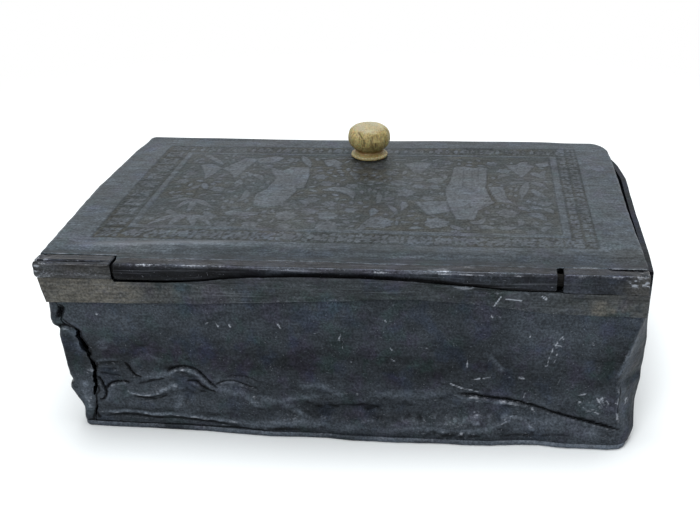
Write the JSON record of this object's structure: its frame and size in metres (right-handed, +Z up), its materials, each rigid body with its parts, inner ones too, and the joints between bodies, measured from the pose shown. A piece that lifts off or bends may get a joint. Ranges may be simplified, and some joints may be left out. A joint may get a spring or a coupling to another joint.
{
  "type": "hinged pewter chest",
  "caption": "Small hinged sheet-metal chest with a flat engraved lid, rolled tube hinge and turned bone knob",
  "frame": {"origin": "centre of the footprint, on the surface that the chest stands on", "axes": "+X along the hinge, -Y the hinge side, +Z up"},
  "size_m": [0.2, 0.1222, 0.0814],
  "materials": {
    "pewter": "satin",
    "solder": "satin",
    "pin_metal": "matte",
    "bone": "satin",
    "brass": "satin"
  },
  "bodies": {
    "base": {"bottom_plate": "pewter", "rear_wall": "pewter", "front_wall": "pewter", "left_end_wall": "pewter", "right_end_wall": "pewter", "rear_hinge_strip": "pewter", "left_hinge_knuckle": "pewter", "right_hinge_knuckle": "pewter", "hinge_pin": "pin_metal", "left_pin_solder": "solder", "right_pin_solder": "solder", "knuckle_solder": "solder", "rear_left_seam": "solder", "rear_right_seam": "solder", "front_left_seam": "solder", "front_right_seam": "solder", "base_seam": "solder"},
    "lid": {"lid_plate": "pewter", "lid_knuckle": "pewter", "knob": "bone", "knob_washer": "pewter", "knob_screw": "brass"}
  },
  "joints": [
    {"name": "lid_hinge", "type": "hinge", "parent": "base", "child": "lid", "pos_m": [0, -0.05584, 0.0644], "axis": [1, 0, 0], "range_deg": [0, 115]}
  ]
}
